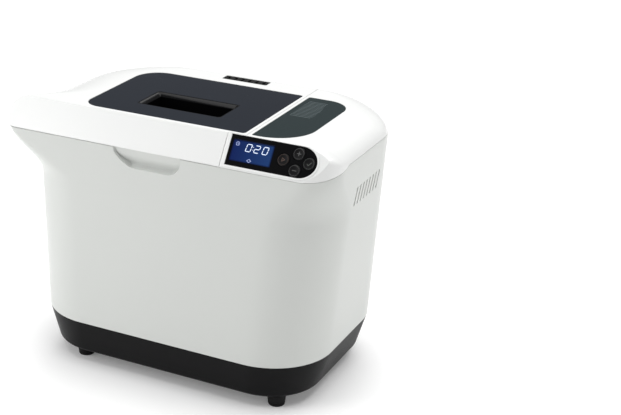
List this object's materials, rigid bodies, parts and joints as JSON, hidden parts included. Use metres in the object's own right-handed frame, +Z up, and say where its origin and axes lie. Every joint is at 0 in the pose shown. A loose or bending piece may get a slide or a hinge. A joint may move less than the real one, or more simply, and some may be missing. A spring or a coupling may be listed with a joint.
{
  "type": "bread machine",
  "caption": "Countertop bread machine with a hinged windowed lid, dispenser well, slanted control strip with keys and display, lift-out pan, kneading paddle and belt drive.",
  "frame": {"origin": "middle of the overall box at floor level, where the feet stand", "axes": "+Z up, -Y the front with the control strip and display, +X to the right of someone facing the front"},
  "size_m": [0.3863, 0.233, 0.2993],
  "materials": {
    "white_plastic": "satin moulded",
    "lid_white": "gloss moulded",
    "black_plastic": "fine texture",
    "gloss_black": "high gloss",
    "key_black": "satin",
    "smoked_window": "smoked, clear",
    "info_grey": "satin printed",
    "display": "glossy display",
    "inner_glass": "clear",
    "seal_rubber": "matte",
    "foot_rubber": "matte",
    "chamber_steel": "brushed",
    "plated_steel": "zinc plated",
    "shaft_steel": "ground",
    "liner_metal": "satin",
    "cast_metal": "as cast",
    "non_stick": "non-stick coating",
    "element_metal": "oxidised sheath",
    "bronze": "sintered",
    "pale_plastic": "moulded",
    "deck_grey": "moulded",
    "board_green": "solder resist",
    "motor_grey": "satin",
    "capacitor_blue": "satin",
    "ceramic_body": "unglazed",
    "belt_rubber": "matte"
  },
  "bodies": {
    "machine": {"base_tray": "black_plastic", "foot_front_left": "foot_rubber", "foot_front_right": "foot_rubber", "foot_rear_left": "foot_rubber", "foot_rear_right": "foot_rubber", "base_screw_1": "shaft_steel", "base_screw_2": "shaft_steel", "base_screw_3": "shaft_steel", "base_screw_4": "shaft_steel", "outer_housing": "white_plastic", "top_deck": "lid_white", "info_panel": "info_grey", "control_panel": "gloss_black", "lcd_display": "display", "control_board": "board_green", "hinge_knuckle_left": "cast_metal", "hinge_knuckle_right": "cast_metal", "hinge_pin_left": "shaft_steel", "hinge_pin_right": "shaft_steel", "inner_deck": "deck_grey", "chamber_liner": "chamber_steel", "heating_element": "element_metal", "element_clip_front": "plated_steel", "element_clip_rear": "plated_steel", "temperature_probe": "shaft_steel", "pan_seat": "cast_metal", "chassis_plate": "plated_steel", "shaft_bearing": "bronze", "drive_belt": "belt_rubber", "motor_body": "motor_grey", "motor_bracket": "plated_steel", "capacitor": "capacitor_blue", "power_board": "board_green", "thermal_fuse": "ceramic_body", "cord_gland": "black_plastic", "heat_shield": "plated_steel"},
    "lid": {"lid_shell": "lid_white", "lid_window": "smoked_window", "dispenser_well": "gloss_black", "lid_liner": "liner_metal", "lid_seal": "seal_rubber", "inner_window": "inner_glass", "steam_vent": "black_plastic"},
    "flap": {"dispenser_flap": "key_black"},
    "drive": {"drive_shaft": "shaft_steel", "drive_coupler": "cast_metal", "large_pulley": "pale_plastic"},
    "rotor": {"motor_shaft": "shaft_steel", "motor_pulley": "pale_plastic"},
    "pan": {"bread_pan": "non_stick", "pan_bush": "bronze", "pan_foot": "plated_steel"},
    "handle": {"pan_handle": "shaft_steel"},
    "paddle": {"pan_shaft": "shaft_steel", "pan_coupler": "cast_metal", "kneading_paddle": "non_stick"},
    "key_left": {"button_left": "key_black"},
    "key_top": {"button_top": "key_black"},
    "key_bottom": {"button_bottom": "key_black"},
    "key_right": {"button_right": "key_black"}
  },
  "joints": [
    {"name": "lid_hinge", "type": "hinge", "parent": "machine", "child": "lid", "pos_m": [0.0054, 0.09424, 0.2882], "axis": [-1, 0, 0], "range_deg": [0, 95]},
    {"name": "flap_hinge", "type": "hinge", "parent": "lid", "child": "flap", "pos_m": [0.0054, -0.001, 0.2726], "axis": [1, 0, 0], "range_deg": [0, 75], "stiffness_Nm_per_rad": 0.05},
    {"name": "drive_spin", "type": "hinge", "parent": "machine", "child": "drive", "pos_m": [-0.0226, -0.004, 0.05], "axis": [0, 0, 1], "continuous": true},
    {"name": "motor_spin", "type": "hinge", "parent": "machine", "child": "rotor", "pos_m": [0.1334, 0.01, 0.05], "axis": [0, 0, 1], "continuous": true},
    {"name": "pan_twist", "type": "hinge", "parent": "machine", "child": "pan", "pos_m": [-0.0226, -0.004, 0.0922], "axis": [0, 0, 1], "range_deg": [0, 10]},
    {"name": "handle_swing", "type": "hinge", "parent": "pan", "child": "handle", "pos_m": [-0.0226, -0.004, 0.238], "axis": [1, 0, 0], "range_deg": [0, 28]},
    {"name": "paddle_spin", "type": "hinge", "parent": "pan", "child": "paddle", "pos_m": [-0.0226, -0.004, 0.0922], "axis": [0, 0, 1], "continuous": true},
    {"name": "button_left_press", "type": "slide", "parent": "machine", "child": "key_left", "axis": [0, 0.8358, -0.549], "range_m": [0, 0.0008], "stiffness_N_per_m": 900},
    {"name": "button_top_press", "type": "slide", "parent": "machine", "child": "key_top", "axis": [0, 0.8358, -0.549], "range_m": [0, 0.0008], "stiffness_N_per_m": 900},
    {"name": "button_bottom_press", "type": "slide", "parent": "machine", "child": "key_bottom", "axis": [0, 0.8358, -0.549], "range_m": [0, 0.0008], "stiffness_N_per_m": 900},
    {"name": "button_right_press", "type": "slide", "parent": "machine", "child": "key_right", "axis": [0, 0.8358, -0.549], "range_m": [0, 0.0008], "stiffness_N_per_m": 900}
  ],
  "couplings": [
    {"joint": "motor_spin", "follows": "drive_spin", "ratio": 6},
    {"joint": "paddle_spin", "follows": "drive_spin", "ratio": 1}
  ]
}
